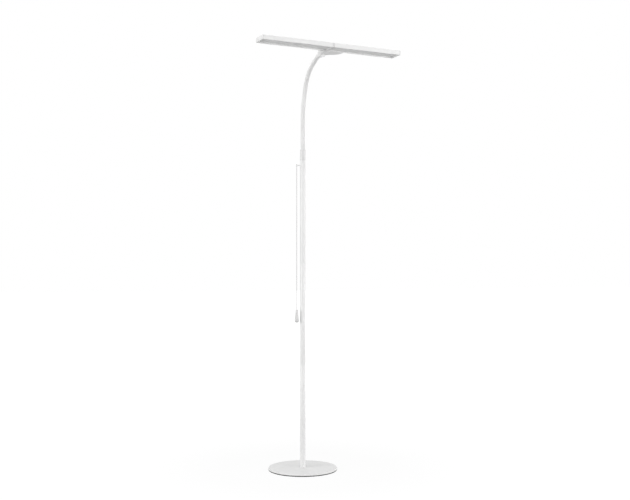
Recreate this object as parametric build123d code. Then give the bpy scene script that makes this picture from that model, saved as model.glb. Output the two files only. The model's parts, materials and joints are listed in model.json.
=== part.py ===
"""Adjustable floor lamp: round weighted base, slim pole, bendable neck and two light bars.

Millimetres, +Z up. The origin is on the floor under the pole's axis. The neck bends in the
plane x = 0 and leans towards -Y, and the light bars lie end to end along X.
"""
from build123d import *
import math
import os

# ---------------------------------------------------------------- driving dimensions
BASE_R = 125.0
PAD_R = 124.4
PAD_T = 3.0
BASE_TOP = 8.0
COVER_T = 1.0
WEIGHT_R = 123.7
CENTRE_RECESS_R = 14.0
PAD_SKIN = 0.6
STUD_R = 5.0
STUD_BORE_R = 3.0

POLE_R = 9.65
POLE_WALL = 1.0
POLE_TOP = 1118.0
POLE_SECTIONS = 3
JOINER_LENGTH = 60.0
SPACER_TOP = 1124.0
FERRULE_TOP = 1166.0
FERRULE_R = 9.9
UPPER_FERRULE_R = 9.0
SPIGOT_LENGTH = 9.0

LINK_LENGTH = 34.0
LINK_R = 7.7
LINK_BORE_R = 2.6
BALL_R = 5.2
BALL_CLEARANCE = 0.3
LINK_GAP = 2.0
# Lean of each neck link from the vertical, from the lowest link up, in degrees.
LINK_LEANS = [0.0, 0.0, 0.0, 4.0, 10.5, 15.5, 21.0, 33.0, 51.0, 64.0, 68.0]

PULL_REACH = 23.8
PULL_Z = 1105.0
PULL_ARM_R = 1.9
PULL_BUSH_R = 2.6
PULL_BORE_R = 1.3
PULL_TRAVEL = 6.0
CORD_R = 1.0
CORD_TOP = 1104.5
KNOB_TOP = 581.5
KNOB_LENGTH = 46.5

HUB_REACH = 160.0
HUB_R = 10.5
LUG_T = 3.0
WASHER_T = 0.5
RING_T = 10.5
HUB_BOTTOM = 1467.5
PIVOT_R = 2.5
SPINE_REACH = 11.0

BAR_LENGTH = 259.0
BAR_WIDTH = 58.0
BAR_T = 15.0
BAR_REAR_REACH = 199.0
BAR_BOTTOM = 1478.0
SEAM_GAP = 2.0
WALL = 1.8
INNER_CAP_T = 3.0
OUTER_CAP_T = 4.0
DIFFUSER_RECESS = 4.0
DIFFUSER_T = 1.5
FLANGE_T = 2.5
FLANGE_END = 64.0
WEB_T = 4.5
WEB_OVERHANG = 9.6
ARM_GAP = 1.2
SCREW_R = 1.55

# Radial clearance of a running or slip fit.
FIT = 0.05

BAR_TOP = BAR_BOTTOM + BAR_T
POLE_BORE_R = POLE_R - POLE_WALL


# ---------------------------------------------------------------- helpers
def rod(radius, low, high, x=0.0, y=0.0):
    """Upright cylinder from height low to height high."""
    return Pos(x, y, (low + high) / 2) * Cylinder(radius, high - low)


def tube(outer, inner, low, high, x=0.0, y=0.0):
    """Upright tube from height low to height high."""
    return rod(outer, low, high, x, y) - rod(inner, low - 1, high + 1, x, y)


def rod_x(radius, start, end, y, z):
    """Cylinder along X."""
    return Pos((start + end) / 2, y, z) * Rot(0, 90, 0) * Cylinder(radius, abs(end - start))


def block(x0, x1, y0, y1, z0, z1):
    """Box between opposite corners."""
    size = Box(abs(x1 - x0), abs(y1 - y0), abs(z1 - z0))
    return Pos((x0 + x1) / 2, (y0 + y1) / 2, (z0 + z1) / 2) * size


def neck_vertices():
    """Pivot points of the neck as (reach, height), from the lower ferrule up."""
    points = [(0.0, FERRULE_TOP)]
    for lean in LINK_LEANS:
        reach, height = points[-1]
        angle = math.radians(lean)
        points.append((reach + LINK_LENGTH * math.sin(angle), height + LINK_LENGTH * math.cos(angle)))
    return points


def along_neck(index):
    """Frame of one neck link: origin at its lower pivot and Z along the link."""
    reach, height = neck_vertices()[index]
    return Pos(0, -reach, height) * Rot(LINK_LEANS[index], 0, 0)


def save(name, shape):
    export_step(shape, "parts/" + name + ".step")


# ---------------------------------------------------------------- base
def base_pad():
    """Foam pad with a blind recess on top for the nut."""
    pad = rod(PAD_R, 0, PAD_T) - rod(CENTRE_RECESS_R, PAD_SKIN, PAD_T + 1)
    return fillet(pad.edges().group_by(Axis.Z)[0].sort_by(SortBy.RADIUS)[-1:], 0.6)


def base_weight():
    plate = rod(WEIGHT_R, PAD_T, BASE_TOP - COVER_T)
    plate -= rod(STUD_R + FIT, 0, BASE_TOP)
    groove = block(-3.2, 3.2, 16, WEIGHT_R + 1, PAD_T - 1, PAD_T + 3.4)
    return plate - groove


def base_cover():
    cap = rod(BASE_R, PAD_T, BASE_TOP)
    cap = fillet(cap.edges().group_by(Axis.Z)[-1], 0.9)
    cap -= rod(BASE_R - COVER_T, PAD_T - 1, BASE_TOP - COVER_T)
    cap -= rod(STUD_R + FIT, 0, BASE_TOP + 1)
    return cap - block(-3.2, 3.2, BASE_R - 3, BASE_R + 1, PAD_T - 1, PAD_T + 3.4)


def lead_gland():
    """Rubber gland in the rear edge of the base, where the mains lead enters."""
    body = block(-3.1, 3.1, BASE_R - 9, BASE_R + 1.6, PAD_T, PAD_T + 3.3)
    body = fillet(body.edges().filter_by(Axis.Y), 0.8)
    bore = Pos(0, BASE_R - 3, PAD_T + 1.65) * Rot(90, 0, 0) * Cylinder(1.0, 20)
    return body - bore


def base_stud():
    return tube(STUD_R, STUD_BORE_R, PAD_SKIN, 34)


def base_washer():
    return tube(11.0, STUD_R + FIT, PAD_T - 0.5, PAD_T)


def base_nut():
    hexagon = extrude(RegularPolygon(9.2, 6), 1.7)
    return Pos(0, 0, PAD_T - 2.2) * hexagon - rod(STUD_R, 0, PAD_T)


# ---------------------------------------------------------------- pole and pull switch
def foot_plug():
    """Threaded insert in the pole's lower end, screwed on the base stud."""
    return tube(POLE_BORE_R, STUD_R, BASE_TOP, 32)


def section_height(index):
    return BASE_TOP + (POLE_TOP - BASE_TOP) * index / POLE_SECTIONS


def pole_section(index):
    section = tube(POLE_R, POLE_BORE_R, section_height(index), section_height(index + 1))
    if index == POLE_SECTIONS - 1:
        section -= rod_x(PULL_ARM_R, -POLE_R - 1, -POLE_BORE_R + 1, 0, PULL_Z)
    return section


def pole_joiner(index):
    middle = section_height(index + 1)
    return tube(POLE_BORE_R, POLE_BORE_R - 1.6, middle - JOINER_LENGTH / 2, middle + JOINER_LENGTH / 2)


def spacer_ring():
    return tube(POLE_R - 0.35, POLE_BORE_R, POLE_TOP, SPACER_TOP)


def lower_ferrule():
    body = rod(FERRULE_R, SPACER_TOP, FERRULE_TOP - LINK_GAP)
    body = chamfer(body.edges().group_by(Axis.Z)[-1], 1.5)
    neck = rod(LINK_BORE_R + 1.6, FERRULE_TOP - LINK_GAP - 1, FERRULE_TOP)
    stem = rod(POLE_BORE_R - FIT, SPACER_TOP - 8, SPACER_TOP)
    ball = Pos(0, 0, FERRULE_TOP) * Sphere(BALL_R)
    return body + neck + stem + ball - rod(LINK_BORE_R, SPACER_TOP - 10, FERRULE_TOP + 10)


def switch_body():
    """Pull switch inside the pole, behind the pull arm."""
    body = rod(POLE_BORE_R, PULL_Z - 16, PULL_Z + 10.5)
    body -= rod_x(3.0, -6.5, 7.5, 0, PULL_Z)
    body -= rod_x(PULL_BORE_R, -POLE_BORE_R - 1, -6, 0, PULL_Z)
    return body - block(3.5, POLE_R, -2.5, 2.5, PULL_Z - 20, PULL_Z - 5)


def switch_plunger():
    return rod_x(2.75, 3.2, 7.2, 0, PULL_Z) + rod_x(0.8, 3.2, 0.6, 0, PULL_Z)


def pull_arm():
    """Horizontal tube from the switch to the bush that the cord hangs from."""
    arm = rod_x(PULL_ARM_R, -PULL_REACH, -POLE_BORE_R, 0, PULL_Z)
    bush = rod(PULL_BUSH_R, PULL_Z - 4.5, PULL_Z + 4.0, -PULL_REACH)
    bush = fillet(bush.edges(), 0.8)
    arm += bush
    arm -= rod_x(PULL_BORE_R, -PULL_REACH, -POLE_BORE_R + 1, 0, PULL_Z)
    return arm - rod(PULL_BORE_R, PULL_Z - 6, PULL_Z + 3.0, -PULL_REACH)


def cord_crimp():
    """Metal sleeve on the cord's upper end, inside the bush."""
    return rod(PULL_BORE_R - 0.1, CORD_TOP, CORD_TOP + 3.2, -PULL_REACH)


def pull_cord():
    return rod(CORD_R, KNOB_TOP, CORD_TOP, -PULL_REACH)


def pull_knob():
    """Bell-shaped knob: a narrow neck, a slow flare and a rounded foot."""
    foot = KNOB_TOP - KNOB_LENGTH
    shape = [(4.6, KNOB_TOP - 1.2), (5.9, KNOB_TOP - 16), (7.7, foot + 8)]
    side = Spline(shape, tangents=[(0.02, -1), (0.03, -1)])
    lines = [
        Line((0, KNOB_TOP), (3.4, KNOB_TOP)),
        Line((3.4, KNOB_TOP), (4.6, KNOB_TOP - 1.2)),
        side,
        ThreePointArc((7.7, foot + 8), (7.5, foot + 3.4), (6.2, foot)),
        Line((6.2, foot), (0, foot)),
        Line((0, foot), (0, KNOB_TOP)),
    ]
    profile = make_face(Plane.XZ * Wire(lines))
    return Pos(-PULL_REACH, 0, 0) * revolve(profile, Axis.Z)


# ---------------------------------------------------------------- neck
def neck_link(index):
    """Tube with a ball at its upper pivot and a socket round its lower one."""
    link = rod(LINK_R, LINK_GAP, LINK_LENGTH - LINK_GAP)
    link -= Sphere(BALL_R + BALL_CLEARANCE)
    last = index == len(LINK_LEANS) - 1
    if last:
        link = rod(LINK_R, LINK_GAP, LINK_LENGTH) - Sphere(BALL_R + BALL_CLEARANCE)
    else:
        link += Pos(0, 0, LINK_LENGTH) * Sphere(BALL_R)
    link -= rod(LINK_BORE_R, -1, LINK_LENGTH + BALL_R + 1)
    return along_neck(index) * link


def upper_ferrule():
    """Sleeve that joins the neck's last link to the yoke's spigot."""
    sleeve = tube(UPPER_FERRULE_R, LINK_R, LINK_LENGTH - SPIGOT_LENGTH, LINK_LENGTH + SPIGOT_LENGTH)
    return along_neck(len(LINK_LEANS) - 1) * chamfer(sleeve.edges().group_by(Axis.Z)[0][-1:], 0.4)


# ---------------------------------------------------------------- yoke and arms
def lug(low, high):
    """Round ear of the yoke with its web back to the spine."""
    ear = rod(HUB_R, low, high, 0, -HUB_REACH)
    return ear + block(-7, 7, -HUB_REACH, -HUB_REACH + 16, low, high)


def hub_levels():
    """Heights in the hub: lower lug, first ring, second ring, upper lug and top."""
    first_ring = HUB_BOTTOM + LUG_T + WASHER_T
    second_ring = first_ring + RING_T + WASHER_T
    upper_lug = second_ring + RING_T + WASHER_T
    return first_ring, second_ring, upper_lug, upper_lug + LUG_T


def yoke():
    first_ring, second_ring, upper_lug, top = hub_levels()
    body = lug(HUB_BOTTOM, HUB_BOTTOM + LUG_T) + lug(upper_lug, top)
    spine = block(-7, 7, -HUB_REACH + SPINE_REACH, -HUB_REACH + 16, HUB_BOTTOM, top)
    body += fillet(spine.edges().filter_by(Axis.Z).sort_by(Axis.Y)[-2:], 3)
    body -= rod(PIVOT_R + FIT, HUB_BOTTOM - 1, top + 1, 0, -HUB_REACH)
    tip = along_neck(len(LINK_LEANS) - 1)
    body -= tip * rod(UPPER_FERRULE_R, LINK_LENGTH - SPIGOT_LENGTH, LINK_LENGTH + SPIGOT_LENGTH)
    boss = tip * rod(UPPER_FERRULE_R, LINK_LENGTH + SPIGOT_LENGTH, LINK_LENGTH + 2 * SPIGOT_LENGTH)
    body += boss - block(-20, 20, -HUB_REACH - 30, -HUB_REACH + SPINE_REACH, HUB_BOTTOM - 20, top + 20)
    return body + tip * rod(LINK_R - FIT, LINK_LENGTH, LINK_LENGTH + SPIGOT_LENGTH + 0.5)


def hub_washers():
    first_ring, second_ring, upper_lug, top = hub_levels()
    washers = []
    for level in (first_ring, second_ring, upper_lug):
        washers.append(tube(HUB_R - 0.5, PIVOT_R + FIT, level - WASHER_T, level, 0, -HUB_REACH))
    return Compound(children=washers)


def pivot_screw():
    top = hub_levels()[3]
    head = rod(5.0, top, top + 2.6, 0, -HUB_REACH)
    head = fillet(head.edges().group_by(Axis.Z)[-1], 1.2)
    shank = rod(PIVOT_R, HUB_BOTTOM - 0.5, top, 0, -HUB_REACH)
    socket = extrude(Pos(0, -HUB_REACH, top + 1.1) * RegularPolygon(1.9, 6), 2)
    return shank + head - socket


def pivot_nut():
    cap = rod(4.6, HUB_BOTTOM - 2.0, HUB_BOTTOM, 0, -HUB_REACH)
    cap = fillet(cap.edges().group_by(Axis.Z)[0], 0.8)
    return cap - rod(PIVOT_R, HUB_BOTTOM - 0.5, HUB_BOTTOM + 1, 0, -HUB_REACH)


def web_face(side, inner):
    """Plan of an arm's web, from its inner edge to a hollow curve that flares from the ring to the flange."""
    rear = -BAR_REAR_REACH + FLANGE_T
    hub = -HUB_REACH
    bends = [(24, 10), (40, 15), (56, 24)]
    points = [(side * 10.2, hub - 2)]
    for across, forward in bends:
        points.append((side * across, hub - forward))
    flare = Spline(points + [(side * FLANGE_END, rear)])
    lines = [
        flare,
        Line((side * FLANGE_END, rear), (side * inner, rear)),
        Line((side * inner, rear), (side * inner, hub - 2)),
        Line((side * inner, hub - 2), (side * 10.2, hub - 2)),
    ]
    return make_face(Wire(lines))


def arm_flange(side):
    """Upright plate screwed to the bar's rear wall. The left one is notched over the right arm's web."""
    rear = -BAR_REAR_REACH
    plate = block(side * ARM_GAP, side * FLANGE_END, rear, rear + FLANGE_T, BAR_BOTTOM + 0.6, BAR_TOP - 0.6)
    if side < 0:
        plate -= block(-WEB_OVERHANG - 2.4, 0, rear - 1, rear + 4, BAR_BOTTOM, hub_levels()[1])
    return plate


def screw_places(side):
    """Middles of the flange's screws, above the right arm's web or below the left arm's."""
    height = BAR_BOTTOM + (9.0 if side > 0 else 5.5)
    return [(side * 16.0, height), (side * 50.0, height)]


def arm(side):
    """Bar arm: a ring on the hub, a flared web and a flange. The right arm is the lower one."""
    first_ring, second_ring, upper_lug, top = hub_levels()
    ring_low = first_ring if side > 0 else second_ring
    ring_high = ring_low + RING_T
    body = rod(HUB_R, ring_low, ring_high, 0, -HUB_REACH)
    if side > 0:
        web = extrude(Pos(0, 0, ring_low) * web_face(side, -WEB_OVERHANG), RING_T)
        rise = BAR_BOTTOM - ring_low + 0.6
        slope = -math.degrees(math.atan2(rise, BAR_REAR_REACH - HUB_REACH))
        cutter = Pos(0, -HUB_REACH, ring_low) * Rot(slope, 0, 0) * block(-90, 90, -80, 6, -40, 0)
        web -= cutter
    else:
        web = extrude(Pos(0, 0, ring_high - WEB_T) * web_face(side, ARM_GAP), WEB_T)
    body += web
    body += arm_flange(side)
    body -= rod(PIVOT_R + FIT, ring_low - 1, ring_high + 1, 0, -HUB_REACH)
    for x, z in screw_places(side):
        body -= Pos(x, -BAR_REAR_REACH, z) * Rot(90, 0, 0) * Cylinder(SCREW_R, 20)
    return body


def arm_screws(side):
    screws = []
    shank_length = FLANGE_T + WALL
    for x, z in screw_places(side):
        head = Pos(x, -BAR_REAR_REACH + FLANGE_T + 0.6, z) * Rot(90, 0, 0) * Cylinder(2.6, 1.2)
        middle = -BAR_REAR_REACH + FLANGE_T - shank_length / 2
        shank = Pos(x, middle, z) * Rot(90, 0, 0) * Cylinder(SCREW_R, shank_length)
        screws.append(head + shank)
    return Compound(children=screws)


# ---------------------------------------------------------------- light bars
def bar_span(side, start, end):
    """Lower and upper X of a stretch of a bar, measured from its inner end."""
    inner = SEAM_GAP / 2
    return sorted([side * (inner + start), side * (inner + end)])


def bar_housing(side):
    """Downward-open channel with a ledge each side for the diffuser."""
    x0, x1 = bar_span(side, INNER_CAP_T, BAR_LENGTH - OUTER_CAP_T)
    front = -BAR_REAR_REACH - BAR_WIDTH
    rear = -BAR_REAR_REACH
    shell = block(x0, x1, front, rear, BAR_BOTTOM, BAR_TOP)
    shell = fillet(shell.edges().filter_by(Axis.X), 0.6)
    shell -= block(x0 - 1, x1 + 1, front + WALL, rear - WALL, BAR_BOTTOM - 1, BAR_TOP - WALL)
    ledge = BAR_BOTTOM + DIFFUSER_RECESS + DIFFUSER_T
    for y in (front + WALL + 0.5, rear - WALL - 0.5):
        shell += block(x0, x1, y - 0.5, y + 0.5, ledge, ledge + 1.5)
    for x, z in screw_places(side):
        shell -= Pos(x, rear, z) * Rot(90, 0, 0) * Cylinder(SCREW_R, 8)
    return shell


def bar_cap(side, start, end):
    """End cap, flush with the channel."""
    x0, x1 = bar_span(side, start, end)
    front = -BAR_REAR_REACH - BAR_WIDTH
    rear = -BAR_REAR_REACH
    cap = block(x0, x1, front, rear, BAR_BOTTOM, BAR_TOP)
    return fillet(cap.edges().filter_by(Axis.X), 0.6)


def bar_diffuser(side):
    x0, x1 = bar_span(side, INNER_CAP_T, BAR_LENGTH - OUTER_CAP_T)
    front = -BAR_REAR_REACH - BAR_WIDTH + WALL
    rear = -BAR_REAR_REACH - WALL
    low = BAR_BOTTOM + DIFFUSER_RECESS
    return block(x0, x1, front, rear, low, low + DIFFUSER_T)


def board_limits(side):
    x0, x1 = bar_span(side, INNER_CAP_T + 6, BAR_LENGTH - OUTER_CAP_T - 6)
    middle = -BAR_REAR_REACH - BAR_WIDTH / 2
    return x0, x1, middle


def led_board(side):
    x0, x1, middle = board_limits(side)
    return block(x0, x1, middle - 20, middle + 20, BAR_TOP - WALL - 1.6, BAR_TOP - WALL)


def led_chips(side):
    """Two rows of light-emitting chips under the board."""
    x0, x1, middle = board_limits(side)
    top = BAR_TOP - WALL - 1.6
    chips = []
    for row in (-10, 10):
        for step in range(14):
            x = x0 + (x1 - x0) * (step + 0.5) / 14
            chips.append(block(x - 1.75, x + 1.75, middle + row - 1.4, middle + row + 1.4, top - 0.8, top))
    return Compound(children=chips)


# ---------------------------------------------------------------- write every node
def main():
    os.makedirs("parts", exist_ok=True)
    save("base_pad", base_pad())
    save("base_weight", base_weight())
    save("base_cover", base_cover())
    save("lead_gland", lead_gland())
    save("base_stud", base_stud())
    save("base_washer", base_washer())
    save("base_nut", base_nut())
    save("foot_plug", foot_plug())
    for index in range(POLE_SECTIONS):
        save("pole_section_" + str(index + 1), pole_section(index))
    for index in range(POLE_SECTIONS - 1):
        save("pole_joiner_" + str(index + 1), pole_joiner(index))
    save("spacer_ring", spacer_ring())
    save("lower_ferrule", lower_ferrule())
    save("switch_body", switch_body())
    save("switch_plunger", switch_plunger())
    save("pull_arm", pull_arm())
    save("cord_crimp", cord_crimp())
    save("pull_cord", pull_cord())
    save("pull_knob", pull_knob())
    for index in range(len(LINK_LEANS)):
        save("neck_link_" + str(index + 1), neck_link(index))
    save("upper_ferrule", upper_ferrule())
    save("yoke", yoke())
    save("hub_washers", hub_washers())
    save("pivot_screw", pivot_screw())
    save("pivot_nut", pivot_nut())
    for label, side in (("right", 1), ("left", -1)):
        save(label + "_arm", arm(side))
        save(label + "_arm_screws", arm_screws(side))
        save(label + "_housing", bar_housing(side))
        save(label + "_inner_cap", bar_cap(side, 0, INNER_CAP_T))
        save(label + "_outer_cap", bar_cap(side, BAR_LENGTH - OUTER_CAP_T, BAR_LENGTH))
        save(label + "_diffuser", bar_diffuser(side))
        save(label + "_led_board", led_board(side))
        save(label + "_led_chips", led_chips(side))


main()
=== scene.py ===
"""Looks of the adjustable floor lamp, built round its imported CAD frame."""
import json
import math

import bmesh
import bpy
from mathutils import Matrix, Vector


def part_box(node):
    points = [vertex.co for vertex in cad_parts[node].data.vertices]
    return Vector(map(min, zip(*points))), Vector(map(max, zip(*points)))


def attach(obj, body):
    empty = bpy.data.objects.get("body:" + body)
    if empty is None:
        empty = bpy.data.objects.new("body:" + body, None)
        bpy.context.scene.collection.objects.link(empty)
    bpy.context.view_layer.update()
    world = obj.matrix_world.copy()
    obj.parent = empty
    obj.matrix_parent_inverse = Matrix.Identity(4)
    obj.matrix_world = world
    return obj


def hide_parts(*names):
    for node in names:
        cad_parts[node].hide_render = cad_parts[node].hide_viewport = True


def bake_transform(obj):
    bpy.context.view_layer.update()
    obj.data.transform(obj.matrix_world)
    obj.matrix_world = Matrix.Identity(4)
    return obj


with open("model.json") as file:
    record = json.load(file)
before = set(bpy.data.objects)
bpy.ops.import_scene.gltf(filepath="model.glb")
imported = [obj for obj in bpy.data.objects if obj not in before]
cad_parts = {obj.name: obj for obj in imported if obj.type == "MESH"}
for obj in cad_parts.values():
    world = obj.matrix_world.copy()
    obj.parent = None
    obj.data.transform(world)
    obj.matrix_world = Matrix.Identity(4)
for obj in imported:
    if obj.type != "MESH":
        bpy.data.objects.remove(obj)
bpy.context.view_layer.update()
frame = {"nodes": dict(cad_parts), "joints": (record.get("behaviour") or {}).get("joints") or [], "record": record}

MM = 0.001
LINKS = sum(1 for name in frame["nodes"] if name.startswith("neck_link_"))
CAMERA_YAW = 25.05
CAMERA_PLACE = (-1.3608, -3.0168, 0.7149)
CAMERA_LENS = 51.98
SENSOR_WIDTH = 36.0
UPWARD_SHIFT = 0.0362


# ---------------------------------------------------------------- camera
def make_camera():
    """Level camera in front and to the left of the lamp, about half as high as the lamp."""
    data = bpy.data.cameras.new("camera")
    camera = bpy.data.objects.new("camera", data)
    bpy.context.scene.collection.objects.link(camera)
    yaw = math.radians(CAMERA_YAW)
    look = Vector((math.sin(yaw), math.cos(yaw), 0.0))
    camera.location = CAMERA_PLACE
    camera.rotation_mode = "QUATERNION"
    camera.rotation_quaternion = look.to_track_quat("-Z", "Y")
    data.sensor_width = SENSOR_WIDTH
    data.lens = CAMERA_LENS
    data.shift_y = UPWARD_SHIFT
    bpy.context.scene.camera = camera


# ---------------------------------------------------------------- node materials
MIX_COLOURS_IN = (6, 7)
MIX_COLOUR_OUT = 2
# Stretches of a texture's values that are spread over the whole range of a colour or roughness.
WIDE_SPAN = (0.3, 0.7)
SKEWED_SPAN = (0.35, 0.7)
NARROW_SPAN = (0.35, 0.65)
CELL_SPAN = (0.0, 0.6)


def shade(tone, factor):
    """Tone made lighter or darker by a factor, and never over full white."""
    return tuple(min(1.0, part * factor) for part in tone)


class Nodes:
    """Short calls for building one node material over a piece's own coordinates."""

    def __init__(self, name):
        self.material = bpy.data.materials.new(name)
        self.material.use_nodes = True
        self.tree = self.material.node_tree
        self.shader = self.tree.nodes["Principled BSDF"]
        self.output = self.tree.nodes["Material Output"]
        self.place = self.add("ShaderNodeTexCoord").outputs["Object"]

    def add(self, kind, **values):
        node = self.tree.nodes.new(kind)
        for key, value in values.items():
            setattr(node, key, value)
        return node

    def link(self, source, target):
        self.tree.links.new(source, target)

    def set(self, **values):
        for key, value in values.items():
            self.shader.inputs[key.replace("_", " ")].default_value = value

    def noise(self, scale, detail=3.0, rough=0.5, vector=None):
        node = self.add("ShaderNodeTexNoise")
        node.inputs["Scale"].default_value = scale
        node.inputs["Detail"].default_value = detail
        node.inputs["Roughness"].default_value = rough
        self.link(vector or self.place, node.inputs["Vector"])
        return node.outputs["Fac"]

    def stretched(self, x, y, z):
        node = self.add("ShaderNodeMapping")
        node.inputs["Scale"].default_value = (x, y, z)
        self.link(self.place, node.inputs["Vector"])
        return node.outputs["Vector"]

    def remap(self, value, low, high, span=(0.0, 1.0)):
        node = self.add("ShaderNodeMapRange")
        node.inputs["From Min"].default_value = span[0]
        node.inputs["From Max"].default_value = span[1]
        node.inputs["To Min"].default_value = low
        node.inputs["To Max"].default_value = high
        self.link(value, node.inputs["Value"])
        return node.outputs["Result"]

    def mix(self, factor, first, second):
        node = self.add("ShaderNodeMix", data_type="RGBA")
        self.link(factor, node.inputs["Factor"])
        for index, colour in zip(MIX_COLOURS_IN, (first, second)):
            if isinstance(colour, tuple):
                node.inputs[index].default_value = (*colour, 1.0)
            else:
                self.link(colour, node.inputs[index])
        return node.outputs[MIX_COLOUR_OUT]

    def bump(self, height, strength, distance):
        node = self.add("ShaderNodeBump")
        node.inputs["Strength"].default_value = strength
        node.inputs["Distance"].default_value = distance
        self.link(height, node.inputs["Height"])
        self.link(node.outputs["Normal"], self.shader.inputs["Normal"])

    def colour(self, socket):
        self.link(socket, self.shader.inputs["Base Color"])

    def rough(self, socket):
        self.link(socket, self.shader.inputs["Roughness"])


def powder_coat(name, tone, grain=700.0):
    """White paint with a fine orange-peel skin and faint handling marks."""
    n = Nodes(name)
    broad = n.noise(scale=9.0, detail=4.0, rough=0.6)
    fine = n.noise(scale=grain, detail=2.0)
    n.colour(n.mix(n.remap(broad, 0.0, 1.0, SKEWED_SPAN), shade(tone, 0.965), shade(tone, 1.015)))
    marks = n.noise(scale=45.0, detail=5.0, rough=0.65)
    n.rough(n.remap(marks, 0.34, 0.46, WIDE_SPAN))
    n.bump(fine, strength=0.12, distance=0.0004)
    n.set(Coat_Weight=0.12, Coat_Roughness=0.2)
    return n.material


def brushed_metal(name, tone, roughness):
    """Bare metal with fine brushed lines."""
    n = Nodes(name)
    lines = n.noise(scale=260.0, detail=4.0, rough=0.6, vector=n.stretched(1.0, 1.0, 6.0))
    n.colour(n.mix(n.remap(lines, 0.0, 1.0, NARROW_SPAN), tone, shade(tone, 1.12)))
    n.rough(n.remap(lines, roughness - 0.07, roughness + 0.1, WIDE_SPAN))
    n.bump(lines, strength=0.15, distance=0.0002)
    n.set(Metallic=1.0)
    return n.material


def moulded_plastic(name, tone, roughness, grain=1500.0):
    """Plastic with a fine moulded grain and slight clouding."""
    n = Nodes(name)
    texture = n.noise(scale=grain, detail=2.0, rough=0.6)
    cloud = n.noise(scale=30.0, detail=3.0)
    n.colour(n.mix(n.remap(cloud, 0.0, 1.0, NARROW_SPAN), shade(tone, 0.955), shade(tone, 1.02)))
    n.rough(n.remap(texture, roughness - 0.05, roughness + 0.07, WIDE_SPAN))
    n.bump(texture, strength=0.18, distance=0.0002)
    n.set(Specular_IOR_Level=0.45)
    return n.material


def foam(name, dark, light):
    """Black foam with open cells."""
    n = Nodes(name)
    cells = n.add("ShaderNodeTexVoronoi")
    cells.inputs["Scale"].default_value = 900.0
    n.link(n.place, cells.inputs["Vector"])
    cloud = n.remap(n.noise(scale=60.0), 0.0, 1.0, WIDE_SPAN)
    n.colour(n.mix(cloud, dark, light))
    n.rough(n.remap(cells.outputs["Distance"], 0.75, 0.95, CELL_SPAN))
    n.bump(cells.outputs["Distance"], strength=0.6, distance=0.0005)
    n.set(Specular_IOR_Level=0.1)
    return n.material


def neck_sleeve(name, tone):
    """Satin sleeve of the neck, a little dulled in patches by handling."""
    n = Nodes(name)
    wear = n.noise(scale=22.0, detail=4.0, rough=0.6)
    n.colour(n.mix(n.remap(wear, 0.0, 1.0, SKEWED_SPAN), shade(tone, 0.95), shade(tone, 1.01)))
    n.rough(n.remap(n.noise(scale=90.0, detail=4.0), 0.4, 0.55, WIDE_SPAN))
    n.bump(n.noise(scale=1100.0, detail=2.0), strength=0.15, distance=0.0002)
    return n.material


def cord_fibre(name, tone):
    """Fibres along a cord, with a little sheen."""
    n = Nodes(name)
    fibres = n.noise(scale=2600.0, detail=3.0, rough=0.6, vector=n.stretched(1.0, 1.0, 0.2))
    n.colour(n.mix(n.remap(fibres, 0.0, 1.0, WIDE_SPAN), shade(tone, 0.8), tone))
    n.rough(n.remap(fibres, 0.6, 0.8, WIDE_SPAN))
    n.bump(fibres, strength=0.35, distance=0.0002)
    n.set(Sheen_Weight=0.25, Sheen_Roughness=0.4)
    return n.material


def frosted_sheet(name, tone):
    """Frosted diffuser with a fine prismatic grain."""
    n = Nodes(name)
    dots = n.add("ShaderNodeTexVoronoi")
    dots.inputs["Scale"].default_value = 650.0
    dots.inputs["Randomness"].default_value = 0.15
    n.link(n.place, dots.inputs["Vector"])
    cloud = n.noise(scale=14.0, detail=3.0)
    n.colour(n.mix(n.remap(cloud, 0.0, 1.0, NARROW_SPAN), shade(tone, 0.97), tone))
    n.rough(n.remap(dots.outputs["Distance"], 0.42, 0.6, CELL_SPAN))
    n.bump(dots.outputs["Distance"], strength=0.2, distance=0.0002)
    n.set(Subsurface_Weight=0.15, Subsurface_Scale=0.002, Subsurface_Radius=(1.0, 1.0, 1.0))
    return n.material


def phosphor(name, deep, bright):
    """Yellow phosphor over the light-emitting chips."""
    n = Nodes(name)
    cloud = n.remap(n.noise(scale=900.0), 0.0, 1.0, WIDE_SPAN)
    n.colour(n.mix(cloud, deep, bright))
    n.rough(n.remap(n.noise(scale=1200.0), 0.4, 0.6, WIDE_SPAN))
    return n.material


def near_white(tone):
    """Grey of a white part, with a trace of warmth."""
    return (tone, tone, tone * 0.996)


def make_materials():
    """One material for each slot of the record, and two copies of the white paint, a little darker for painted
    shade and a little lighter for painted light.
    """
    white = near_white(0.80)
    return {
        "foam_pad": foam("foam_pad", (0.009, 0.009, 0.01), (0.022, 0.022, 0.023)),
        "bare_steel": brushed_metal("bare_steel", (0.42, 0.42, 0.43), 0.42),
        "white_paint": powder_coat("white_paint", white),
        # Darker white: painted shade on the lower ferrule and the pull arm.
        "white_with_painted_shade": powder_coat("white_with_painted_shade", near_white(0.72)),
        # Lighter white: painted light on the yoke and the upper ferrule.
        "white_with_painted_light": powder_coat("white_with_painted_light", near_white(0.89)),
        "black_rubber": moulded_plastic("black_rubber", (0.02, 0.02, 0.021), 0.7),
        "zinc_steel": brushed_metal("zinc_steel", (0.6, 0.6, 0.61), 0.3),
        "neck_sleeve": neck_sleeve("neck_sleeve", near_white(0.78)),
        "switch_plastic": moulded_plastic("switch_plastic", near_white(0.70), 0.5),
        "white_cord": cord_fibre("white_cord", near_white(0.44)),
        "knob_plastic": moulded_plastic("knob_plastic", near_white(0.64), 0.34, 800.0),
        "nylon": moulded_plastic("nylon", (0.75, 0.75, 0.70), 0.45),
        "white_aluminium": powder_coat("white_aluminium", white, 900.0),
        "cap_plastic": moulded_plastic("cap_plastic", near_white(0.76), 0.42, 1200.0),
        "diffuser": frosted_sheet("diffuser", near_white(0.84)),
        "board": moulded_plastic("board", near_white(0.80), 0.4),
        "led_phosphor": phosphor("led_phosphor", (0.75, 0.55, 0.12), (0.86, 0.68, 0.2)),
    }


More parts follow.
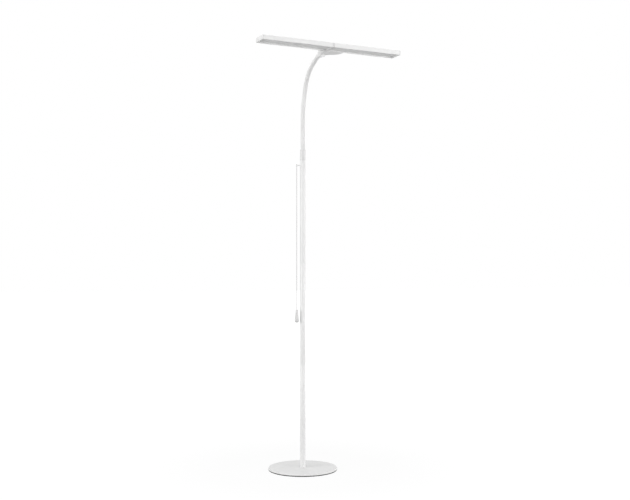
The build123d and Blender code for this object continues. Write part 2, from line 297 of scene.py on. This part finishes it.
# ---------------------------------------------------------------- mesh helpers
TURNED_SHARP = 35.0
TURNED_SEGMENTS = 96
WELD_DISTANCE = 1e-6
CORNER_SHARE = 0.45


def add_mesh(name, builder, material, sharp=TURNED_SHARP):
    """Turns a finished bmesh into an object with smooth shading up to the sharp angle."""
    bmesh.ops.recalc_face_normals(builder, faces=builder.faces)
    mesh = bpy.data.meshes.new(name)
    builder.to_mesh(mesh)
    builder.free()
    piece = bpy.data.objects.new(name, mesh)
    bpy.context.scene.collection.objects.link(piece)
    mesh.materials.append(material)
    mesh.shade_smooth()
    mesh.set_sharp_from_angle(angle=math.radians(sharp))
    return piece


def bezier(start, control, end, t):
    """Point at t on the smooth bend from start to end, drawn towards control."""
    return start * (1 - t) ** 2 + control * 2 * t * (1 - t) + end * t ** 2


def rounded(points, radius, steps=3):
    """Closed profile with each corner replaced by a short curve."""
    made = []
    count = len(points)
    for index in range(count):
        here = Vector(points[index])
        before = Vector(points[index - 1]) - here
        after = Vector(points[(index + 1) % count]) - here
        reach = min(radius, before.length * CORNER_SHARE, after.length * CORNER_SHARE)
        start = here + before.normalized() * reach
        end = here + after.normalized() * reach
        for step in range(steps + 1):
            made.append(bezier(start, here, end, step / steps))
    return made


def lathe(name, profile, material, centre=(0.0, 0.0), segments=TURNED_SEGMENTS,
          sharp=TURNED_SHARP):
    """Closed (radius, height) profile in metres, turned round an upright axis."""
    builder = bmesh.new()
    rings = []
    for step in range(segments):
        angle = 2 * math.pi * step / segments
        ring = []
        for point in profile:
            x = centre[0] + point[0] * math.cos(angle)
            y = centre[1] + point[0] * math.sin(angle)
            ring.append(builder.verts.new((x, y, point[1])))
        rings.append(ring)
    count = len(profile)
    for step in range(segments):
        here = rings[step]
        after = rings[(step + 1) % segments]
        for index in range(count):
            other = (index + 1) % count
            builder.faces.new((here[index], after[index], after[other], here[other]))
    bmesh.ops.remove_doubles(builder, verts=builder.verts, dist=WELD_DISTANCE)
    return add_mesh(name, builder, material, sharp)


def place(piece, body, node):
    """Rides a finished piece on its body and lets it stand for its CAD node."""
    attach(piece, body)
    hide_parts(node)


def body_of_node(node):
    """Name of the body that carries a CAD node."""
    bodies = frame["record"]["behaviour"]["bodies"]
    return next(body for body, members in bodies.items() if node in members)


def round_node(node):
    """Lower and upper corner, centre in plan and radius of an upright round CAD node."""
    low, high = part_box(node)
    centre = ((low.x + high.x) / 2, (low.y + high.y) / 2)
    return low, high, centre, (high.x - low.x) / 2


TUBE_WALL = 1.0 * MM


def tube_node(node, materials, edge):
    """Turned copy of an upright painted tube of the CAD, with softened edges."""
    low, high, centre, radius = round_node(node)
    bore = radius - TUBE_WALL
    profile = rounded([(bore, low.z), (radius, low.z), (radius, high.z), (bore, high.z)], edge)
    piece = lathe(node + "_turned", profile, materials["white_paint"], centre)
    place(piece, body_of_node(node), node)


# ---------------------------------------------------------------- base and pole
COVER_WALL = 1.0 * MM
COVER_HOLE = 5.05 * MM
COVER_RIM_DROP = 1.4 * MM
COVER_RIM_INSET = 1.6 * MM
COVER_RIM_BREAK = 0.45 * MM
COVER_EDGE = 0.5 * MM
PAD_EASE = 0.3 * MM
BASE_SEGMENTS = 256


def make_base(materials):
    """Cover with a rolled rim, on a black foam pad."""
    low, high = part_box("base_cover")
    inner = high.x - COVER_WALL
    outline = [
        (inner, low.z),
        (high.x, low.z),
        (high.x, high.z - COVER_RIM_DROP),
        (high.x - COVER_RIM_BREAK, high.z - COVER_RIM_BREAK),
        (high.x - COVER_RIM_INSET, high.z),
        (COVER_HOLE, high.z),
        (COVER_HOLE, high.z - COVER_WALL),
        (inner, high.z - COVER_WALL),
    ]
    profile = rounded(outline, COVER_EDGE)
    paint = materials["white_paint"]
    cover = lathe("base_cover_turned", profile, paint, segments=BASE_SEGMENTS)
    place(cover, "stand", "base_cover")
    low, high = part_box("base_pad")
    profile = [
        Vector((0.0, low.z)),
        Vector((high.x - PAD_EASE, low.z)),
        Vector((high.x, low.z + PAD_EASE)),
        Vector((high.x, high.z)),
        Vector((0.0, high.z)),
    ]
    foam_pad = materials["foam_pad"]
    pad = lathe("base_pad_turned", profile, foam_pad, segments=BASE_SEGMENTS)
    place(pad, "stand", "base_pad")


TUBE_EDGE = 0.35 * MM
RING_EDGE = 0.5 * MM
FERRULE_LENGTH = 40.0 * MM
FERRULE_WALL = 1.2 * MM
FERRULE_TAPER_DROP = 2.2 * MM
FERRULE_TAPER_INSET = 1.6 * MM
FERRULE_LIP_INSET = 1.0 * MM
FERRULE_LIP_DROP = 3.0 * MM
FERRULE_CEILING = 3.4 * MM
FERRULE_EDGE = 0.5 * MM


def make_pole(materials):
    """Three tubes, the spacer ring above them and the ferrule that holds the neck."""
    for index in (1, 2, 3):
        tube_node(f"pole_section_{index}", materials, TUBE_EDGE)
    tube_node("spacer_ring", materials, RING_EDGE)
    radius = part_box("lower_ferrule")[1].x
    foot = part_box("spacer_ring")[1].z
    sleeve_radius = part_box("neck_link_1")[1].x
    collar = foot + FERRULE_LENGTH
    outline = [
        (radius - FERRULE_WALL, foot),
        (radius, foot),
        (radius, collar - FERRULE_TAPER_DROP),
        (radius - FERRULE_TAPER_INSET, collar),
        (sleeve_radius - FERRULE_LIP_INSET, collar),
        (sleeve_radius - FERRULE_LIP_INSET, collar - FERRULE_LIP_DROP),
        (radius - FERRULE_WALL, collar - FERRULE_CEILING),
    ]
    profile = rounded(outline, FERRULE_EDGE)
    # The ferrule's darker white is painted shade.
    ferrule = lathe("lower_ferrule_turned", profile, materials["white_with_painted_shade"])
    place(ferrule, "stand", "lower_ferrule")


# ---------------------------------------------------------------- neck
RIB_PITCH = 2.3 * MM
RIB_DEPTH = 0.3 * MM
RINGS_PER_RIB = 6
NECK_SEGMENTS = 40
NECK_SHARP = 60.0
NECK_ANGLES = [2 * math.pi * step / NECK_SEGMENTS for step in range(NECK_SEGMENTS)]
SLEEVE_BORE = 6.6 * MM
NECK_SAMPLES = 400
FOOT_START = 4.0 * MM
END_LEAN = math.radians(68.0)


def neck_pivots():
    """Pivot of each neck joint from the lowest up, and the neck's upper end."""
    pivots = []
    for index in range(LINKS):
        joint = next(j for j in frame["joints"] if j["child"] == f"neck_{index + 1}")
        pivots.append(Vector(joint["pos_m"]))
    last = (pivots[-1] - pivots[-2]).length
    pivots.append(pivots[-1] + Vector((0.0, -math.sin(END_LEAN), math.cos(END_LEAN))) * last)
    return pivots


def even_rings(start, pivot, end):
    """Evenly spaced centres and directions along the bend round a pivot, and its length."""
    line = [bezier(start, pivot, end, step / NECK_SAMPLES) for step in range(NECK_SAMPLES + 1)]
    marks = [0.0]
    for here, after in zip(line, line[1:]):
        marks.append(marks[-1] + (after - here).length)
    length = marks[-1]
    count = round(length / RIB_PITCH * RINGS_PER_RIB)
    rings = []
    cursor = 0
    for ring in range(count + 1):
        distance = length * ring / count
        while cursor < NECK_SAMPLES - 1 and marks[cursor + 1] < distance:
            cursor += 1
        share = min(1.0, (distance - marks[cursor]) / (marks[cursor + 1] - marks[cursor]))
        middle = line[cursor].lerp(line[cursor + 1], share)
        t = (cursor + share) / NECK_SAMPLES
        along = ((pivot - start) * (1 - t) + (end - pivot) * t).normalized()
        rings.append((distance, middle, along))
    return rings, length


def rib_depth(phase):
    """How far the groove between two ribs cuts into the sleeve."""
    return RIB_DEPTH * (0.5 - 0.5 * math.cos(phase)) ** 2


def ring_round(builder, middle, along, radii):
    """Ring of points square to the neck's line, with a radius for each angle."""
    side = Vector((1.0, 0.0, 0.0))
    up = along.cross(side).normalized()
    ring = []
    for angle, radius in zip(NECK_ANGLES, radii):
        offset = (side * math.cos(angle) + up * math.sin(angle)) * radius
        ring.append(builder.verts.new(middle + offset))
    return ring


def sleeve_rings(builder, centres, travelled):
    """Rings up the ribbed outside of a sleeve and back down its plain bore."""
    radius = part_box("neck_link_1")[1].x
    rings = []
    for distance, middle, along in centres:
        turned = 2 * math.pi * (travelled + distance) / RIB_PITCH
        radii = [radius - rib_depth(turned + angle) for angle in NECK_ANGLES]
        rings.append(ring_round(builder, middle, along, radii))
    bore = centres[1:-2:RINGS_PER_RIB] + [centres[-2]]
    for distance, middle, along in reversed(bore):
        rings.append(ring_round(builder, middle, along, [SLEEVE_BORE] * NECK_SEGMENTS))
    return rings


def neck_piece(index, pivots, travelled, material):
    """Ribbed sleeve from the middle of one link to the middle of the next, round their pivot.

    The first starts just below its pivot, and the last runs on to the neck's upper end.
    """
    pivot = pivots[index]
    first = index == 0
    last = index == LINKS - 1
    after = (pivots[index + 1] - pivot).normalized()
    before = Vector((0.0, 0.0, 1.0)) if first else (pivot - pivots[index - 1]).normalized()
    link = (pivots[1] - pivots[0]).length
    start = pivot - before * (FOOT_START if first else link / 2)
    end = pivot + after * (link if last else link / 2)
    centres, length = even_rings(start, pivot, end)
    builder = bmesh.new()
    rings = sleeve_rings(builder, centres, travelled)
    for here, above in zip(rings, rings[1:] + rings[:1]):
        for step in range(NECK_SEGMENTS):
            other = (step + 1) % NECK_SEGMENTS
            builder.faces.new((here[step], here[other], above[other], above[step]))
    piece = add_mesh(f"neck_sleeve_{index + 1}", builder, material, NECK_SHARP)
    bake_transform(piece)
    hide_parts(f"neck_link_{index + 1}")
    return length


def make_neck(materials):
    """The sleeve's pieces from the ferrule up, with one rib running on through all of them."""
    pivots = neck_pivots()
    travelled = 0.0
    for index in range(LINKS):
        travelled += neck_piece(index, pivots, travelled, materials["neck_sleeve"])


# ---------------------------------------------------------------- pull cord and knob
# Top, middle and lower end of the cord's route, in metres.
CORD_POINTS = [(-0.0238, 0.0, 1.1045), (-0.0238, 0.0, 0.8430), (-0.0238, 0.0, 0.5815)]
CORD_STRANDS = 3
STRAND_RADIUS = 0.52 * MM
LAY_RADIUS = 0.46 * MM
LAY_PITCH = 7.0 * MM
STRAND_SEGMENTS = 8
CORD_STEPS = 160
CORD_SHARP = 80.0


def cord_line():
    """The cord's route as points read from its spline."""
    curve = bpy.data.curves.new("cord_route", "CURVE")
    curve.dimensions = "3D"
    spline = curve.splines.new("NURBS")
    spline.points.add(len(CORD_POINTS) - 1)
    for point, place_on_route in zip(spline.points, CORD_POINTS):
        point.co = (*place_on_route, 1.0)
    spline.order_u = 3
    spline.use_endpoint_u = True
    curve.resolution_u = CORD_STEPS
    holder = bpy.data.objects.new("cord_route", curve)
    bpy.context.scene.collection.objects.link(holder)
    mesh = bpy.data.meshes.new_from_object(holder)
    line = [v.co.copy() for v in mesh.vertices]
    bpy.data.objects.remove(holder)
    bpy.data.meshes.remove(mesh)
    return line


def strand(builder, line, turned):
    """One strand of the cord, wound round its line from the angle it is turned to."""
    rings = []
    travelled = 0.0
    for index, point in enumerate(line):
        if index:
            travelled += (point - line[index - 1]).length
        turn = turned + 2 * math.pi * travelled / LAY_PITCH
        middle = point + Vector((math.cos(turn), math.sin(turn), 0.0)) * LAY_RADIUS
        ring = []
        for step in range(STRAND_SEGMENTS):
            angle = 2 * math.pi * step / STRAND_SEGMENTS
            offset = Vector((math.cos(angle), math.sin(angle), 0.0)) * STRAND_RADIUS
            ring.append(builder.verts.new(middle + offset))
        rings.append(ring)
    for here, after in zip(rings, rings[1:]):
        for step in range(STRAND_SEGMENTS):
            other = (step + 1) % STRAND_SEGMENTS
            builder.faces.new((here[step], here[other], after[other], after[step]))
    builder.faces.new(rings[0])
    builder.faces.new(rings[-1])


def make_pull_cord(materials, line):
    """Laid cord of three twisted strands, hanging straight under the knob's weight."""
    builder = bmesh.new()
    for index in range(CORD_STRANDS):
        strand(builder, line, 2 * math.pi * index / CORD_STRANDS)
    cord = add_mesh("pull_cord_laid", builder, materials["white_cord"], CORD_SHARP)
    place(cord, "pull", "pull_cord")
    return cord


# The outlines of the collar, foot and hollow are in millimetres: the collar's as (radius, drop from
# the top), the foot's as (inset from the widest, rise) and the hollow's as (radius, rise).
KNOB_COLLAR = ((0.0, 0.0), (2.6, 0.0), (3.9, 0.5), (4.55, 1.7))
KNOB_NECK_RADIUS = 4.6 * MM
KNOB_NECK_DROP = 2.4 * MM
KNOB_FLARE_LENGTH = 35.0 * MM
KNOB_FLARE_STEPS = 14
KNOB_FLARE_POWER = 1.55
KNOB_FOOT = ((0.0, 7.6), (0.12, 5.4), (0.5, 3.4), (1.1, 1.8), (1.9, 0.7), (2.9, 0.12))
KNOB_HOLLOW = ((3.2, 0.0), (2.8, 0.8), (0.0, 0.8))
KNOB_SEGMENTS = 72
KNOB_SHARP = 50.0


def make_knob(materials):
    """Bell-shaped knob with a small collar where the cord enters."""
    low, high, centre, wide = round_node("pull_knob")
    outline = [(radius * MM, high.z - drop * MM) for radius, drop in KNOB_COLLAR]
    for step in range(KNOB_FLARE_STEPS + 1):
        t = step / KNOB_FLARE_STEPS
        radius = KNOB_NECK_RADIUS + (wide - KNOB_NECK_RADIUS) * t ** KNOB_FLARE_POWER
        outline.append((radius, high.z - KNOB_NECK_DROP - KNOB_FLARE_LENGTH * t))
    outline += [(wide - inset * MM, low.z + rise * MM) for inset, rise in KNOB_FOOT]
    outline += [(radius * MM, low.z + rise * MM) for radius, rise in KNOB_HOLLOW]
    profile = [Vector(point) for point in outline]
    plastic = materials["knob_plastic"]
    knob = lathe("pull_knob_turned", profile, plastic, centre, KNOB_SEGMENTS, KNOB_SHARP)
    place(knob, "pull", "pull_knob")
    return knob


# ---------------------------------------------------------------- light bars
GROOVE_WIDTH = 0.3 * MM
GROOVE_DEPTH = 0.35 * MM
CAP_CORNER = 0.8 * MM
CAP_CORNER_STEPS = 4
CAP_RIM = 0.7 * MM
CAP_BREAK = 0.2 * MM
CAP_SHARP = 30.0


def skin_over_sections(name, sections, material, sharp):
    """Skin over closed (x, outline) sections, closed at both ends."""
    builder = bmesh.new()
    rings = []
    for x, outline in sections:
        rings.append([builder.verts.new((x, point[0], point[1])) for point in outline])
    for here, after in zip(rings, rings[1:]):
        for index in range(len(here)):
            other = (index + 1) % len(here)
            builder.faces.new((here[index], here[other], after[other], after[index]))
    builder.faces.new(rings[0])
    builder.faces.new(rings[-1])
    return add_mesh(name, builder, material, sharp)


def cap_outline(low, high, inset):
    """Rounded upright rectangle of a bar's section, drawn in by inset."""
    y0 = low.y + inset
    y1 = high.y - inset
    z0 = low.z + inset
    z1 = high.z - inset
    return rounded([(y0, z0), (y1, z0), (y1, z1), (y0, z1)], CAP_CORNER, CAP_CORNER_STEPS)


def make_bar_caps(materials):
    """End caps with a shadow groove against the channel and a softened outer rim."""
    for side in ("right", "left"):
        middle = sum(corner.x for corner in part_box(side + "_housing")) / 2
        for kind in ("inner", "outer"):
            node = f"{side}_{kind}_cap"
            low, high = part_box(node)
            joint, free = (low.x, high.x) if low.x > middle else (high.x, low.x)
            way = math.copysign(1.0, free - joint)
            steps = [
                (joint, GROOVE_DEPTH),
                (joint + way * GROOVE_WIDTH, GROOVE_DEPTH),
                (joint + way * GROOVE_WIDTH, 0.0),
                (free - way * CAP_RIM, 0.0),
                (free - way * CAP_BREAK, CAP_BREAK),
                (free, CAP_RIM),
            ]
            sections = [(x, cap_outline(low, high, inset)) for x, inset in steps]
            plastic = materials["cap_plastic"]
            cap = skin_over_sections(node + "_grooved", sections, plastic, CAP_SHARP)
            place(cap, body_of_node(node), node)


# ---------------------------------------------------------------- other pieces
SOFTENED = ("yoke", "right_arm", "left_arm", "upper_ferrule", "pull_arm")
# Nodes given a darker white for painted shade or a lighter white for painted light.
PAINTED_LIGHT_AND_SHADE = {"pull_arm": "white_with_painted_shade", "upper_ferrule": "white_with_painted_light", "yoke": "white_with_painted_light"}
SHARP_ANGLE = math.radians(28.0)
EDGE_WIDTH = 0.3 * MM
EDGE_SEGMENTS = 2


def soften_edges(node):
    """Small rounding along a CAD node's sharp edges."""
    edge = node.modifiers.new("soft_edges", "BEVEL")
    edge.limit_method = "ANGLE"
    edge.angle_limit = SHARP_ANGLE
    edge.width = EDGE_WIDTH
    edge.segments = EDGE_SEGMENTS
    edge.use_clamp_overlap = False
    edge.harden_normals = True


def dress_cad_nodes(materials):
    """Gives every CAD node smooth shading and its slot's material, or a white darkened for painted shade or
    lightened for painted light.
    """
    slots = {row["node"]: row["material_slot"] for row in frame["record"]["subparts"]}
    for name, node in frame["nodes"].items():
        node.data.materials.clear()
        node.data.materials.append(materials[PAINTED_LIGHT_AND_SHADE.get(name, slots[name])])
        node.data.shade_smooth()
        node.data.set_sharp_from_angle(angle=SHARP_ANGLE)
        if name in SOFTENED:
            soften_edges(node)


# ---------------------------------------------------------------- stage
FLOOR_TONE = 0.42
FLOOR_SIZE = 30.0
FLOOR_SPAN = (0.3, 2.5)
FLOOR_NEAR_SHARE = 0.8
FLOOR_GLOW = 1.14
WORLD_LIGHT = 0.45
WORLD_SEEN = 1.0


def combine(tree, operation, first, second):
    """What a math node makes of two sockets."""
    node = tree.nodes.new("ShaderNodeMath")
    node.operation = operation
    tree.links.new(first, node.inputs[0])
    tree.links.new(second, node.inputs[1])
    return node.outputs[0]


def seen_directly(tree):
    """1 for rays from the camera and those that gloss and glass send on, 0 for the others."""
    path = tree.nodes.new("ShaderNodeLightPath")
    seen = path.outputs["Is Camera Ray"]
    for kind in ("Is Glossy Ray", "Is Transmission Ray"):
        seen = combine(tree, "MAXIMUM", seen, path.outputs[kind])
    return seen


def white_floor(name):
    """Grey floor that glows when it is seen, so it shows white, with a faint shadow near the lamp.

    The glow's share grows over FLOOR_SPAN, and at the far end of it nothing else shows.
    """
    n = Nodes(name)
    away = n.add("ShaderNodeVectorMath", operation="LENGTH")
    n.link(n.place, away.inputs[0])
    share = n.remap(away.outputs["Value"], FLOOR_NEAR_SHARE, 1.0, FLOOR_SPAN)
    diffuse = n.add("ShaderNodeBsdfDiffuse")
    diffuse.inputs["Color"].default_value = (FLOOR_TONE, FLOOR_TONE, FLOOR_TONE, 1.0)
    glow = n.add("ShaderNodeEmission")
    glow.inputs["Strength"].default_value = FLOOR_GLOW
    mix = n.add("ShaderNodeMixShader")
    n.link(combine(n.tree, "MULTIPLY", seen_directly(n.tree), share), mix.inputs[0])
    n.link(diffuse.outputs[0], mix.inputs[1])
    n.link(glow.outputs[0], mix.inputs[2])
    n.link(mix.outputs[0], n.output.inputs["Surface"])
    n.tree.nodes.remove(n.shader)
    return n.material


def make_stage():
    """The floor, and a white world that lights the lamp softly."""
    builder = bmesh.new()
    corners = []
    for x, y in ((-1, -1), (1, -1), (1, 1), (-1, 1)):
        corners.append(builder.verts.new((x * FLOOR_SIZE, y * FLOOR_SIZE, 0.0)))
    builder.faces.new(corners)
    add_mesh("floor", builder, white_floor("floor"))
    world = bpy.data.worlds.new("studio")
    bpy.context.scene.world = world
    world.use_nodes = True
    tree = world.node_tree
    background = tree.nodes["Background"]
    background.inputs["Color"].default_value = (1.0, 1.0, 1.0, 1.0)
    strength = tree.nodes.new("ShaderNodeMapRange")
    strength.inputs["To Min"].default_value = WORLD_LIGHT
    strength.inputs["To Max"].default_value = WORLD_SEEN
    tree.links.new(seen_directly(tree), strength.inputs["Value"])
    tree.links.new(strength.outputs["Result"], background.inputs["Strength"])


LIT_MIDDLE = (0.0, -0.1, 0.9)
LAMPS = {
    "left": {"place": (-3.7, -0.2, 0.85), "size": 2.2, "watts": 87.0},
    "front_low": {"place": (2.2, -3.2, 0.6), "size": 2.0, "watts": 76.0},
    "right": {"place": (3.2, -2.2, 0.9), "size": 2.2, "watts": 26.0},
    "overhead": {"place": (-0.6, -1.2, 3.6), "size": 2.2, "watts": 38.0},
}


def make_lights():
    """Four large soft lamps, all aimed at one point near the middle of the floor lamp."""
    for name, lamp in LAMPS.items():
        data = bpy.data.lights.new(name, "AREA")
        data.shape = "SQUARE"
        data.size = lamp["size"]
        data.energy = lamp["watts"]
        light = bpy.data.objects.new(name, data)
        light.location = lamp["place"]
        light.rotation_mode = "QUATERNION"
        aim = Vector(LIT_MIDDLE) - Vector(lamp["place"])
        light.rotation_quaternion = aim.to_track_quat("-Z", "Y")
        bpy.context.scene.collection.objects.link(light)


def main():
    """Builds the camera, the materials, the pieces, the stage and the lights."""
    make_camera()
    materials = make_materials()
    line = cord_line()
    cord = make_pull_cord(materials, line)
    knob = make_knob(materials)
    dress_cad_nodes(materials)
    make_base(materials)
    make_pole(materials)
    make_neck(materials)
    make_bar_caps(materials)
    make_stage()
    make_lights()
    bpy.context.scene.view_settings.view_transform = "Standard"


main()
